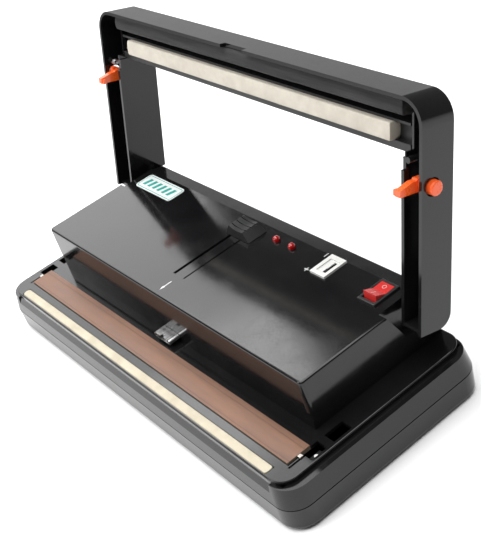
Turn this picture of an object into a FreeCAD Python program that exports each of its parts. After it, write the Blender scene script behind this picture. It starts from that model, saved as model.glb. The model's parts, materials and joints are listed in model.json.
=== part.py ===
"""Household vacuum bag sealer with an impulse sealing bar, stored with its lid frame open.

X runs along the sealing bar, the operator stands at -Y and +Z is up.  The origin lies on the
surface the feet stand on, under the middle of the open object.  Lengths are millimetres.
Lid parts are drawn closed and then turned open about the hinge line.
"""
import FreeCAD, Part
import math
import os
import re
import Sketcher

doc = FreeCAD.newDocument("BagSealer")
sheet = doc.addObject("Spreadsheet::Sheet", "Sizes")

SIZES = (
    # base
    ("base_width", 347.0, "width at the case seam"),
    ("base_depth", 150.0, "depth at the case seam"),
    ("corner_round", 15.0, "radius of the case's upright corners"),
    ("foot_height", 1.2, "how far the feet lift the case"),
    ("foot_radius", 7.0, "rubber foot"),
    ("seam_z", 18.0, "height of the seam between the two case halves"),
    ("deck_z", 34.0, "height of the deck"),
    ("ledge_drop", 3.0, "step down from the deck to the ledge the lid comes down on"),
    ("case_draft", 2.0, "inset of the upper case over its height"),
    ("side_ledge", 5.7, "ledge width at each side"),
    ("front_ledge", 1.4, "ledge width at the front"),
    ("case_wall", 2.4, "case wall"),
    ("seam_line", 0.7, "height and depth of the shadow line at the case seam"),
    ("screw_x", 158.0, "case screws, from the middle"),
    ("screw_front", 9.5, "front case screws, from the base front"),
    ("screw_rear", 128.0, "rear case screws, from the base front"),
    ("screw_radius", 1.5, "case screw shank"),
    ("boss_radius", 4.2, "screw boss"),
    # housing
    ("cover_half", 148.4, "half width of the housing cover"),
    ("cover_front", 44.0, "housing cover front, from the base front"),
    ("cover_rear", 147.0, "housing cover rear, from the base front"),
    ("cover_foot_z", 47.0, "lower edge of the housing cover"),
    ("cover_top_z", 70.0, "top of the housing cover"),
    ("cover_wall", 2.2, "housing cover wall"),
    ("cover_round", 1.6, "round on the cover's top edges"),
    ("slope_start", 134.2, "where the rear slope of the top begins, from the base front"),
    ("slope_drop", 3.0, "drop of the rear slope"),
    ("slope_end", 1.6, "gap from the slope's foot to the rear wall"),
    ("plinth_inset", 0.8, "step in from the cover to the plinth under it"),
    ("seam_gap", 0.5, "open seam between plinth and cover"),
    # sealing deck
    ("strip_half", 150.0, "half length of both foam strips"),
    ("strip_front", 5.0, "deck foam strip, from the base front"),
    ("strip_width", 6.3, "deck foam strip"),
    ("strip_sunk", 2.0, "depth of its groove"),
    ("strip_proud", 0.6, "how far it stands above the deck"),
    ("tape_half", 155.0, "half length of the non-stick tape"),
    ("tape_front", 17.3, "non-stick tape, from the base front"),
    ("tape_width", 16.7, "non-stick tape"),
    ("tape_thick", 0.25, "non-stick tape"),
    ("heater_sunk", 1.6, "depth of the heater base's pocket"),
    ("heater_proud", 0.9, "heater base above the deck"),
    ("wire_width", 2.4, "heating ribbon"),
    ("wire_thick", 0.3, "heating ribbon"),
    ("slot_gap", 1.8, "from the tape's end to the ribbon slot"),
    ("slot_wide", 1.4, "ribbon slot"),
    ("fit_gap", 0.3, "gap round inset pieces"),
    # lid frame
    ("hinge_back", 137.0, "hinge line, from the base front"),
    ("hinge_z", 54.1, "hinge line height"),
    ("open_angle", 105.7, "turn from closed to the open stop"),
    ("rim_z", 31.5, "lid rim height when closed"),
    ("lid_height", 23.0, "lid frame height"),
    ("lid_half", 168.4, "half width of the lid frame"),
    ("ridge_z", 65.3, "lid ridge round the window when closed, a little below the housing top"),
    ("ridge_wide", 1.6, "flat along the ridge"),
    ("window_half", 149.6, "half width of the lid window"),
    ("window_front", 34.4, "front edge of the lid window, from the base front"),
    ("lid_wall", 2.2, "lid frame wall"),
    ("lid_corner", 15.0, "radius of the lid's front corners"),
    ("lid_round", 2.2, "round on the lid's top edges"),
    ("arm_round", 9.0, "round at the arm ends"),
    ("arm_short", 0.5, "arm end, short of the hinge line"),
    ("lug_radius", 5.0, "hinge lug"),
    ("lug_wide", 6.0, "hinge lug"),
    ("lug_web", 16.4, "web that ties the lug to the arm"),
    ("pin_radius", 2.5, "hinge pin"),
    ("pin_play", 0.06, "radial play of the lug on its pin"),
    ("recess_half", 142.4, "inner face of the hinge recess, from the middle"),
    ("recess_front", 108.0, "front of the hinge recess at the top, from the base front"),
    ("recess_z", 48.5, "floor of the hinge recess"),
    ("post_wide", 5.0, "hinge post"),
    ("sponge_width", 10.6, "lid sponge strip"),
    ("silicone_half", 138.5, "half length of the silicone bar"),
    ("silicone_front", 19.2, "silicone bar, from the base front"),
    ("silicone_width", 10.7, "silicone bar"),
    ("silicone_high", 8.0, "silicone bar"),
    ("silicone_z", 36.5, "underside of the silicone bar when closed"),
    ("holder_wall", 1.5, "silicone bar holder"),
    ("holder_grip", 4.0, "how far the holder's lips cover the bar"),
    # latches
    ("latch_y", 48.5, "latch, from the base front"),
    ("latch_long", 7.6, "latch hook along the arm"),
    ("hook_drop", 9.0, "latch hook below the rim"),
    ("button_radius", 4.4, "latch button"),
    ("button_z", 39.5, "latch button height when closed"),
    ("latch_pivot_x", 163.4, "latch pivot, from the middle"),
    ("latch_pivot_z", 36.4, "latch pivot height when closed"),
    ("button_proud", 3.5, "latch button above the arm's side"),
    ("hole_x", 154.8, "inner edge of the deck holes"),
    ("hole_wide", 8.5, "deck holes"),
    ("hook_hole", 44.8, "hook hole, from the base front"),
    ("hook_hole_long", 13.5, "hook hole"),
    ("switch_hole", 27.7, "lid switch hole, from the base front"),
    ("switch_hole_long", 11.8, "lid switch hole"),
    # nozzle and its slider
    ("nozzle_half", 9.5, "half width of the flat nozzle"),
    ("nozzle_high", 3.6, "flat nozzle"),
    ("nozzle_z", 36.2, "underside of the nozzle"),
    ("nozzle_tip", 36.6, "nozzle tip when drawn in, from the base front"),
    ("nozzle_long", 62.0, "flat length of the nozzle"),
    ("nozzle_wall", 0.6, "nozzle sheet"),
    ("slide_travel", 44.0, "nozzle travel"),
    ("knob_front", 113.0, "knob front when drawn in, from the base front"),
    ("knob_long", 16.0, "knob along the travel"),
    ("knob_half", 12.5, "half width of the knob"),
    ("knob_high", 7.0, "knob"),
    ("guide_slot", 2.6, "wide guide slot"),
    ("thin_slot", 1.3, "thin guide slot"),
    ("guide_x", -8.0, "wide guide slot"),
    ("thin_x", 3.2, "thin guide slot"),
    # controls
    ("switch_x", 127.9, "power switch"),
    ("switch_y", 123.3, "power switch, from the base front"),
    ("bezel_wide", 15.0, "switch bezel"),
    ("bezel_long", 21.0, "switch bezel"),
    ("bezel_thick", 1.5, "switch bezel flange"),
    ("rocker_wide", 10.8, "rocker"),
    ("rocker_half", 7.4, "half length of the rocker"),
    ("rocker_tilt", 12.0, "rocker tilt to each side"),
    ("trunnion_radius", 1.2, "the rocker's pivot"),
    ("timer_x", 81.2, "timer plate"),
    ("timer_y", 124.4, "timer plate, from the base front"),
    ("timer_wide", 13.6, "timer plate"),
    ("timer_long", 19.2, "timer plate"),
    ("timer_thick", 1.6, "timer plate"),
    ("lamp_x", 27.0, "first lamp"),
    ("lamp_pitch", 16.0, "between the lamps"),
    ("lamp_y", 126.0, "lamps, from the base front"),
    ("lamp_radius", 2.5, "lamp"),
    ("label_x", -111.5, "label plate"),
    ("label_y", 123.0, "label plate, from the base front"),
    ("label_wide", 47.0, "label plate"),
    ("label_deep", 16.0, "label plate"),
    ("label_thick", 0.4, "label plate"),
    # inside
    ("pump_radius", 12.0, "pump motor"),
    ("pump_y", 98.0, "pump, from the base front"),
    ("core_x", 96.0, "transformer"),
    ("core_y", 82.0, "transformer, from the base front"),
    ("bushing_x", -132.0, "lead bushing in the rear wall"),
    ("bushing_radius", 4.2, "lead bushing"),
)
for row, (alias, number, meaning) in enumerate(SIZES, 1):
    sheet.set("A%d" % row, alias)
    sheet.set("B%d" % row, repr(number))
    sheet.set("C%d" % row, meaning)
    sheet.setAlias("B%d" % row, alias)
doc.recompute()
size = {alias: float(sheet.get(alias)) for alias, number, meaning in SIZES}

# Formulas that several pieces share, written out in terms of the sheet's cells.
SHARED = {
    "base_front": "(-(hinge_back + (hinge_back - window_front + ridge_wide) * sin(open_angle - 90)"
                  " + (ridge_z - hinge_z) * cos(open_angle - 90)) / 2)",
    "hinge_y": "(base_front + hinge_back)",
    "floor_z": "(foot_height + case_wall)",
    "top_half": "(base_width / 2 - case_draft)",
    "deck_half": "(base_width / 2 - case_draft - side_ledge)",
    "deck_front": "(case_draft + front_ledge)",
    "deck_rear": "(base_depth - case_draft - fit_gap)",
    "ledge_z": "(deck_z - ledge_drop)",
    "heater_top": "(deck_z + heater_proud)",
    "lid_top": "(rim_z + lid_height)",
    "arm_end": "(hinge_back - arm_short)",
    "plinth_half": "(cover_half - plinth_inset)",
    "plinth_front": "(cover_front + plinth_inset)",
    "plinth_rear": "(cover_rear - plinth_inset)",
}


def formula(text):
    """Write a formula's cell names and shared names the way the expression engine wants them."""
    def swap(match):
        word = match.group(0)
        if word in SHARED:
            return formula(SHARED[word])
        return "Sizes." + word if word in size else word
    return re.sub(r"[a-z][a-z_]*", swap, str(text))


def bind(thing, **sizes):
    for name, text in sizes.items():
        thing.setExpression(name.replace("__", "."), formula(text))
    return thing


def place(thing, x, y, z):
    """Put a piece at x, at y behind the base front, and at height z."""
    return bind(thing, Placement__Base__x=x, Placement__Base__y="base_front + (%s)" % y,
                Placement__Base__z=z)


def box(name, x, y, z):
    """A block between two formulas along each axis."""
    block = doc.addObject("Part::Box", name)
    bind(block, Length="(%s) - (%s)" % (x[1], x[0]), Width="(%s) - (%s)" % (y[1], y[0]),
         Height="(%s) - (%s)" % (z[1], z[0]))
    return place(block, x[0], y[0], z[0])


AXES = {"x": FreeCAD.Rotation(FreeCAD.Vector(0, 1, 0), 90), "y": FreeCAD.Rotation(FreeCAD.Vector(1, 0, 0),
        -90),
        "z": FreeCAD.Rotation()}


def rod(name, radius, length, x, y, z, axis="z"):
    """A cylinder that starts at a point and runs along one axis."""
    cylinder = doc.addObject("Part::Cylinder", name)
    cylinder.Placement.Rotation = AXES[axis]
    bind(cylinder, Radius=radius, Height=length)
    return place(cylinder, x, y, z)


def frustum(name, half, y, z, top_inset, bottom_inset="0"):
    """A block with drafted sides: its size is given where it is widest."""
    wedge = doc.addObject("Part::Wedge", name)
    wedge.Placement.Rotation = FreeCAD.Rotation(FreeCAD.Vector(1, 0, 0), 90)
    bind(wedge, Ymin=z[0], Ymax=z[1], Xmin="-(%s) + %s" % (half, bottom_inset),
         Xmax="%s - %s" % (half, bottom_inset),
         Zmin="-(%s) + %s" % (y[1], bottom_inset), Zmax="-(%s) - %s" % (y[0], bottom_inset),
         X2min="-(%s) + %s" % (half, top_inset), X2max="%s - %s" % (half, top_inset),
         Z2min="-(%s) + %s" % (y[1], top_inset), Z2max="-(%s) - %s" % (y[0], top_inset))
    return bind(wedge, Placement__Base__y="base_front")


def fuse(name, *pieces):
    union = doc.addObject("Part::MultiFuse", name)
    union.Shapes = list(pieces)
    union.Refine = True
    return union


def cut(name, base, *tools):
    tool = tools[0] if len(tools) == 1 else fuse(name + "_tools", *tools)
    result = doc.addObject("Part::Cut", name)
    result.Base, result.Tool, result.Refine = base, tool, True
    return result


def common(name, first, second):
    result = doc.addObject("Part::Common", name)
    result.Base, result.Tool = first, second
    return result


def group(name, *pieces):
    """Identical separate pieces that share one node."""
    bundle = doc.addObject("Part::Compound", name)
    bundle.Links = list(pieces)
    return bundle


def rounded(name, base, radius, choose):
    """Round the edges that choose() picks."""
    doc.recompute()
    edges = [(number, radius, radius) for number, edge in enumerate(base.Shape.Edges, 1) if choose(edge)]
    if not edges:
        raise ValueError("no edge to round on " + name)
    fillet = doc.addObject("Part::Fillet", name)
    fillet.Base, fillet.Edges = base, edges
    return fillet


def mirrored(name, source):
    """The same piece on the other side of the middle."""
    twin = doc.addObject("Part::Mirroring", name)
    twin.Source, twin.Normal, twin.Base = source, FreeCAD.Vector(1, 0, 0), FreeCAD.Vector(0, 0, 0)
    return twin


def profile(name, points, start, length):
    """Pad a side profile along X.  points are (y behind the base front, z) formulas."""
    body = doc.addObject("PartDesign::Body", name)
    sketch = body.newObject("Sketcher::SketchObject", name + "_sketch")
    plane = [item for item in body.Origin.OriginFeatures if item.Role == "YZ_Plane"][0]
    sketch.AttachmentSupport, sketch.MapMode = (plane, ""), "FlatFace"
    count = len(points)
    corners = [FreeCAD.Vector(100 * math.cos(2 * math.pi * turn / count),
                              100 * math.sin(2 * math.pi * turn / count), 0)
               for turn in range(count)]
    for number in range(count):
        sketch.addGeometry(Part.LineSegment(corners[number], corners[(number + 1) % count]), False)
    for number in range(count):
        sketch.addConstraint(Sketcher.Constraint("Coincident", number, 2, (number + 1) % count, 1))
    for number, (y, z) in enumerate(points):
        for kind, text, guess in (("DistanceX", y, corners[number].x), ("DistanceY", z, corners[number].y)):
            index = sketch.addConstraint(Sketcher.Constraint(kind, -1, 1, number, 1, guess))
            sketch.setExpression("Constraints[%d]" % index, formula(text))
    pad = body.newObject("PartDesign::Pad", name + "_pad")
    pad.Profile = sketch
    bind(pad, Length=length)
    return bind(body, Placement__Base__x=start, Placement__Base__y="base_front")


# ---- edge pickers -------------------------------------------------------------------------------
def span(edge):
    return edge.BoundBox


def upright(edge):
    """An edge that climbs, near vertical."""
    return span(edge).ZLength > 2 and span(edge).XLength < 0.3 * span(edge).ZLength \
        and span(edge).YLength < 0.3 * span(edge).ZLength


def level_at(edge, height):
    return abs(span(edge).ZMin - height) < 1e-3 and abs(span(edge).ZMax - height) < 1e-3


def along(edge, axis):
    """A straight edge along one axis."""
    lengths = {"x": span(edge).XLength, "y": span(edge).YLength, "z": span(edge).ZLength}
    return lengths.pop(axis) > 0.3 and max(lengths.values()) < 1e-6


# ---- base ---------------------------------------------------------------------------------------
BUSHING_Z = "(seam_z + ledge_z) / 2 - 0.1"


def case_screw_spots():
    return [(side, back) for side in ("-", "") for back in ("screw_front", "screw_rear")]


def make_lower_case():
    shell = frustum("lower_outer", "base_width / 2", ("0", "base_depth"),
                    ("foot_height", "seam_z - seam_line"),
                    "0", "0.5")
    shell = rounded("lower_corners", shell, size["corner_round"], upright)
    shell = rounded("lower_bottom", shell, 3.0, lambda edge: level_at(edge, size["foot_height"]))
    neck = box("seam_neck", ("-base_width / 2 + seam_line", "base_width / 2 - seam_line"),
               ("seam_line", "base_depth - seam_line"), ("seam_z - seam_line - 2", "seam_z"))
    neck = rounded("seam_neck_round", neck, size["corner_round"] - size["seam_line"], upright)
    shell = fuse("lower_blank", shell, neck)
    hollow = box("lower_hollow", ("-base_width / 2 + case_wall + 1", "base_width / 2 - case_wall - 1"),
                 ("case_wall + 1", "base_depth - case_wall - 1"), ("floor_z", "seam_z + 1"))
    hollow = rounded("lower_hollow_round", hollow, size["corner_round"] - size["case_wall"], upright)
    tray = cut("lower_tray", shell, hollow)
    bosses, bores = [], []
    for number, (side, back) in enumerate(case_screw_spots()):
        spot = (side + "screw_x", back)
        bosses.append(rod("lower_boss_%d" % number, "boss_radius", "seam_z - foot_height - 1", *spot,
                          "foot_height + 1"))
        bores.append(rod("lower_bore_%d" % number, "screw_radius + 0.2", "seam_z", *spot, "0"))
        bores.append(rod("lower_sink_%d" % number, "screw_radius * 2 + 0.3", "4", *spot,
                         "foot_height - 0.5"))
    board_posts = [rod("board_post_%d" % number, "2.6", "8", x, y, "floor_z - 0.2")
                   for number, (x, y) in enumerate((x, y) for x in ("24", "60") for y in ("70", "100"))]
    vents = [box("vent_%d" % number, ("core_x - 20", "core_x + 20"), ("core_y + 26 + %d" % (6 * number),
                 "core_y + 29 + %d" % (6 * number)), ("0", "floor_z + 1")) for number in range(4)]
    solid = fuse("lower_solid", tray, *bosses, *board_posts)
    return cut("lower_case", solid, *bores, *vents)


def make_upper_case():
    skirt = frustum("skirt_outer", "base_width / 2", ("0", "base_depth"), ("seam_z", "ledge_z"),
                    "case_draft")
    skirt = rounded("skirt_corners", skirt, size["corner_round"], upright)
    plateau = box("plateau", ("-deck_half", "deck_half"), ("deck_front", "deck_rear"),
                  ("ledge_z - 1", "deck_z"))
    plateau = rounded("plateau_corners", plateau, size["corner_round"] - 2.5, upright)
    plateau = rounded("plateau_edge", plateau, 0.8, lambda edge: level_at(edge, size["deck_z"]))
    inside = box("skirt_hollow", ("-top_half + case_wall", "top_half - case_wall"),
                 ("case_draft + case_wall", "base_depth - case_draft - case_wall"),
                 ("seam_z - 1", "ledge_z - case_wall"))
    inside = rounded("skirt_hollow_round", inside, size["corner_round"] - size["case_wall"], upright)
    under = box("plateau_hollow", ("-deck_half + case_wall", "deck_half - case_wall"),
                ("deck_front + case_wall", "deck_rear - case_wall"), ("seam_z", "deck_z - case_wall"))
    plinth = box("plinth_outer", ("-plinth_half", "plinth_half"), ("plinth_front", "plinth_rear"),
                 ("deck_z - 1", "cover_foot_z - seam_gap"))
    well = box("plinth_well", ("-plinth_half + case_wall", "plinth_half - case_wall"),
               ("plinth_front + case_wall", "plinth_rear - case_wall"), ("seam_z", "cover_foot_z + 1"))
    case = cut("upper_shell", fuse("upper_outer", skirt, plateau, plinth), inside, under, well)
    added, removed = [], []
    for side, sign in (("left", "-"), ("right", "")):
        post = box("hinge_post_" + side, ("0", "post_wide"),
                   ("hinge_back - 8", "plinth_rear - case_wall + 0.6"), ("ledge_z", "hinge_z + 7"))
        start = "recess_half - cover_wall - 0.4 - post_wide" if not sign else "-(recess_half - cover_wall - 0.4)"
        bind(post, Placement__Base__x=start)
        added.append(post)
        removed.append(rod("hinge_bore_" + side, "pin_radius", "post_wide + 2", start + " - 1",
                           "hinge_back", "hinge_z", "x"))
        inner = "hole_x" if not sign else "-hole_x - hole_wide"
        for kind, start_y, long in (("hook", "hook_hole", "hook_hole_long"),
                                    ("switch", "switch_hole", "switch_hole_long")):
            removed.append(box("%s_hole_%s" % (kind, side), (inner, inner + " + hole_wide"),
                               (start_y, "%s + %s" % (start_y, long)), ("deck_z - case_wall - 1",
                                       "deck_z + 1")))
        gap = "tape_half + slot_gap" if not sign else "-tape_half - slot_gap - slot_wide"
        removed.append(box("ribbon_slot_" + side, (gap, gap + " + slot_wide"),
                           ("tape_front - 1.5", "tape_front + tape_width + 1.5"),
                           ("deck_z - case_wall - 1", "deck_z + 1")))
    for number, (sign, back) in enumerate(case_screw_spots()):
        added.append(rod("upper_boss_%d" % number, "boss_radius", "deck_z - case_wall - seam_z",
                         sign + "screw_x", back, "seam_z + 0.2"))
        removed.append(rod("upper_bore_%d" % number, "screw_radius", "8", sign + "screw_x", back, "seam_z"))
    removed.append(box("strip_groove", ("-strip_half - fit_gap", "strip_half + fit_gap"),
                       ("strip_front - fit_gap", "strip_front + strip_width + fit_gap"),
                       ("deck_z - strip_sunk", "deck_z + 1")))
    removed.append(box("heater_pocket", ("-tape_half - fit_gap", "tape_half + fit_gap"),
                       ("tape_front - fit_gap", "tape_front + tape_width + fit_gap"),
                       ("deck_z - heater_sunk", "deck_z + 1")))
    removed.append(box("nozzle_port", ("-nozzle_half - 0.6", "nozzle_half + 0.6"),
                       ("plinth_front - 1", "plinth_front + case_wall + 1"),
                       ("nozzle_z - 0.6", "nozzle_z + nozzle_high + 0.6")))
    added.append(rod("bushing_seat", "bushing_radius + 1.9", "case_draft + 1.2", "bushing_x",
                     "base_depth - case_draft - 1.2", BUSHING_Z, "y"))
    removed.append(rod("bushing_hole", "bushing_radius", "case_draft + case_wall + 6", "bushing_x",
                       "base_depth - case_draft - case_wall - 3", BUSHING_Z, "y"))
    removed.append(profile("finger_bevel", (("0 - 2", "ledge_z - 6.5"), ("0.6", "ledge_z - 6.5"),
                                            ("deck_front", "ledge_z - 0.6"),
                                            ("deck_front", "ledge_z + 1"), ("0 - 2", "ledge_z + 1")),
                                            "-tape_half", "tape_half * 2"))
    return cut("upper_case", fuse("upper_built", case, *added), *removed)


def cover_outline(inset, foot):
    """Side view of the housing: upright front, flat top, a short slope and an upright rear."""
    front, top = "cover_front + %s" % inset, "cover_top_z - %s" % inset
    rear = "cover_rear - %s" % inset
    return ((front, foot), (front, top), ("slope_start - %s / 3" % inset, top),
            (rear + " - slope_end", top + " - slope_drop"), (rear, top + " - slope_drop - slope_end * 1.6"),
            (rear, foot))


def recess_outline(grow):
    """The corner that is cut out for the hinge lug: its front wall leans back as it goes down."""
    return (("recess_front - %s" % grow, "cover_top_z + 3"), ("recess_front + 9 - %s" % grow,
                                                              "cover_top_z - 15"),
            ("recess_front + 12 - %s" % grow, "recess_z - %s" % grow),
            ("cover_rear - cover_wall - 0.4", "recess_z - %s" % grow), ("cover_rear - cover_wall - 0.4",
                    "cover_top_z + 3"))


def make_housing_cover():
    solid = profile("cover_solid", cover_outline("0", "cover_foot_z"), "-cover_half", "cover_half * 2")
    front_corner = lambda edge: upright(edge) and span(edge).YMax < base_front_y() + size["cover_front"] + 0.1
    solid = rounded("cover_corners", solid, 3.0, front_corner)
    top = size["cover_top_z"]
    rim = lambda edge: level_at(edge, top) and not (along(edge, "x") and span(edge).YMin > base_front_y()
                                                    + size["slope_start"] - 1)
    solid = rounded("cover_edges", solid, size["cover_round"], rim)
    hollow = profile("cover_hollow", cover_outline("cover_wall", "cover_foot_z - 2"),
                     "-cover_half + cover_wall",
                     "(cover_half - cover_wall) * 2")
    shell = cut("cover_shell", solid, hollow)
    walls, recesses = [], []
    for side, wall_start, cut_start in (("left", "-cover_half + 0.2", "-cover_half - 1"),
                                        ("right", "recess_half - cover_wall", "recess_half")):
        lining = profile("recess_lining_" + side, recess_outline("cover_wall"), wall_start,
                         "cover_half - 0.2 - recess_half + cover_wall")
        walls.append(common("recess_wall_" + side, lining, solid))
        recesses.append(profile("recess_" + side, recess_outline("0"), cut_start,
                                "cover_half + 1 - recess_half"))
    openings = [rod("pin_hole_" + side, "pin_radius + 0.4", "cover_wall + 2", start, "hinge_back",
                    "hinge_z", "x")
                for side, start in (("left", "-recess_half - 1"), ("right",
                                                                   "recess_half - cover_wall - 1"))]
    top_span = ("cover_top_z - cover_wall - 1", "cover_top_z + 1")
    for name, x, wide in (("guide_slot", "guide_x", "guide_slot"), ("thin_slot", "thin_x", "thin_slot")):
        openings.append(box(name, ("%s - %s / 2" % (x, wide), "%s + %s / 2" % (x, wide)),
                            ("knob_front - slide_travel - 4", "knob_front + knob_long - 0.5"), top_span))
    openings.append(box("bezel_hole", ("switch_x - bezel_wide / 2 + 0.8",
                                       "switch_x + bezel_wide / 2 - 0.8"),
                        ("switch_y - bezel_long / 2 + 0.8", "switch_y + bezel_long / 2 - 0.8"), top_span))
    openings.append(box("timer_hole", ("timer_x - timer_wide / 2 + 3", "timer_x + timer_wide / 2 - 1.5"),
                        ("timer_y - timer_long / 2 + 2", "timer_y + timer_long / 2 - 2"), top_span))
    for number in range(2):
        openings.append(rod("lamp_hole_%d" % number, "lamp_radius + 0.15", "6",
                            "lamp_x + %d * lamp_pitch" % number,
                            "lamp_y", "cover_top_z - 5"))
    return cut("housing_cover", fuse("cover_lined", shell, *walls), *recesses, *openings)


def make_feet():
    feet = [rod("foot_%d" % number, "foot_radius", "foot_height", side + "(base_width / 2 - 26)", back, "0")
            for number, (side, back) in enumerate((side, back) for side in ("-", "")
                                                  for back in ("24", "base_depth - 24"))]
    return group("rubber_feet", *feet)


def make_case_screws():
    screws = []
    for number, (side, back) in enumerate(case_screw_spots()):
        head = rod("screw_head_%d" % number, "screw_radius * 2", "2", side + "screw_x", back,
                   "foot_height + 1.4")
        shank = rod("screw_shank_%d" % number, "screw_radius - 0.02", "seam_z + 3", side + "screw_x", back,
                    "foot_height + 2")
        slot = box("screw_slot_%d" % number, (side + "screw_x - 2", side + "screw_x + 2"),
                   (back + " - 0.4", back + " + 0.4"),
                   ("foot_height + 1", "foot_height + 2.2"))
        screws.append(cut("screw_%d" % number, fuse("screw_body_%d" % number, head, shank), slot))
    return group("case_screws", *screws)


def make_lead_bushing():
    height = BUSHING_Z
    start = "base_depth - case_draft - case_wall - 2"
    sleeve = rod("bushing_sleeve", "bushing_radius - 0.05", "case_wall + 5", "bushing_x", start, height,
                 "y")
    collar = rod("bushing_collar", "bushing_radius + 1.4", "1.8", "bushing_x", "base_depth", height, "y")
    bore = rod("bushing_bore", "2.8", "20", "bushing_x", start + " - 2", height, "y")
    return cut("lead_bushing", fuse("bushing_body", sleeve, collar), bore)


# ---- sealing deck -------------------------------------------------------------------------------
def make_foam_strip():
    strip = box("foam_block", ("-strip_half", "strip_half"), ("strip_front", "strip_front + strip_width"),
                ("deck_z - strip_sunk", "deck_z + strip_proud"))
    return rounded("foam_strip", strip, 2.8, upright)


def make_heater_base():
    base = box("heater_block", ("-tape_half", "tape_half"), ("tape_front", "tape_front + tape_width"),
               ("deck_z - heater_sunk", "heater_top"))
    middle = "tape_front + tape_width / 2"
    groove = box("ribbon_groove", ("-tape_half - 1", "tape_half + 1"), (middle + " - wire_width / 2 - 0.1",
                 middle + " + wire_width / 2 + 0.1"), ("heater_top - wire_thick", "heater_top + 1"))
    return cut("heater_base", base, groove)


def make_heating_ribbon():
    middle = "tape_front + tape_width / 2"
    wide = (middle + " - wire_width / 2", middle + " + wire_width / 2")
    reach = "tape_half + slot_gap + slot_wide / 2"
    ribbon = box("ribbon_run", ("-(%s)" % reach, reach), wide, ("heater_top - wire_thick", "heater_top"))
    ends = [box("ribbon_end_" + side, (start, start + " + wire_thick"), wide, ("deck_z - 11", "heater_top"))
            for side, start in (("left", "-(%s)" % reach), ("right", reach + " - wire_thick"))]
    return fuse("heating_ribbon", ribbon, *ends)


def make_tape():
    return box("ptfe_tape", ("-tape_half", "tape_half"), ("tape_front", "tape_front + tape_width"),
               ("heater_top", "heater_top + tape_thick"))


def coil_spring(name, radius, wire, height, turns, base, axis):
    """A wound spring, drawn as one wire swept along a helix."""
    helix = Part.makeHelix(height / turns, height, radius)
    ring = Part.Wire(Part.makeCircle(wire, FreeCAD.Vector(radius, 0, 0), FreeCAD.Vector(0, 1, 0)))
    spring = doc.addObject("Part::Feature", name)
    spring.Shape = Part.Wire(helix.Edges).makePipeShell([ring], True, True)
    spring.Placement = FreeCAD.Placement(base, AXES[axis])
    return spring


def make_ribbon_springs():
    """Springs under the deck that keep the ribbon tight as it grows hot."""
    reach = size["tape_half"] + size["slot_gap"] + size["slot_wide"] / 2
    middle = base_front_y() + size["tape_front"] + size["tape_width"] / 2
    start = size["foot_height"] + size["case_wall"] + 0.6
    high = size["deck_z"] - 11.6 - start
    return [coil_spring("ribbon_spring_" + side, 2.0, 0.4, high, 8, FreeCAD.Vector(sign * (reach - 0.15),
            middle, start), "z")
            for side, sign in (("left", -1), ("right", 1))]


# ---- nozzle, carriage and knob ------------------------------------------------------------------
def make_nozzle():
    rear = "nozzle_tip + nozzle_long"
    outer = box("nozzle_outer", ("-nozzle_half", "nozzle_half"), ("nozzle_tip", rear),
                ("nozzle_z", "nozzle_z + nozzle_high"))
    outer = rounded("nozzle_round", outer, size["nozzle_high"] / 2 - 0.05, lambda edge: along(edge, "y"))
    inner = box("nozzle_inner", ("-nozzle_half + nozzle_wall", "nozzle_half - nozzle_wall"),
                ("nozzle_tip - 1", rear + " - 3"),
                ("nozzle_z + nozzle_wall", "nozzle_z + nozzle_high - nozzle_wall"))
    inner = rounded("nozzle_hollow", inner, size["nozzle_high"] / 2 - size["nozzle_wall"] - 0.05,
                    lambda edge: along(edge, "y"))
    middle = "nozzle_z + nozzle_high / 2"
    barb = rod("nozzle_barb", "2.8", "13", "0", rear + " - 1", middle, "y")
    bore = rod("nozzle_bore", "1.1", "20", "0", rear + " - 5", middle, "y")
    notch = box("nozzle_notch", ("-1.6", "1.6"), ("nozzle_tip - 1", "nozzle_tip + 1.8"),
                ("nozzle_z + nozzle_high - 1", "nozzle_z + nozzle_high + 1"))
    return cut("nozzle", fuse("nozzle_body", outer, barb), inner, bore, notch)


def make_carriage():
    """Hangs under the cover and holds the nozzle's rear end."""
    plate = box("carriage_plate", ("-13", "13"), ("knob_front - 20", "knob_front + knob_long"),
                ("cover_top_z - cover_wall - 9", "cover_top_z - cover_wall - 0.4"))
    leg = box("carriage_leg", ("-12", "12"), ("knob_front - 20", "knob_front - 15.6"),
              ("nozzle_z - 2", "cover_top_z - cover_wall - 8"))
    slot = box("carriage_slot", ("-nozzle_half - 0.02", "nozzle_half + 0.02"),
               ("knob_front - 30", "knob_front"),
               ("nozzle_z - 0.02", "nozzle_z + nozzle_high + 0.02"))
    return cut("nozzle_carriage", fuse("carriage_body", plate, leg), slot)


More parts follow.
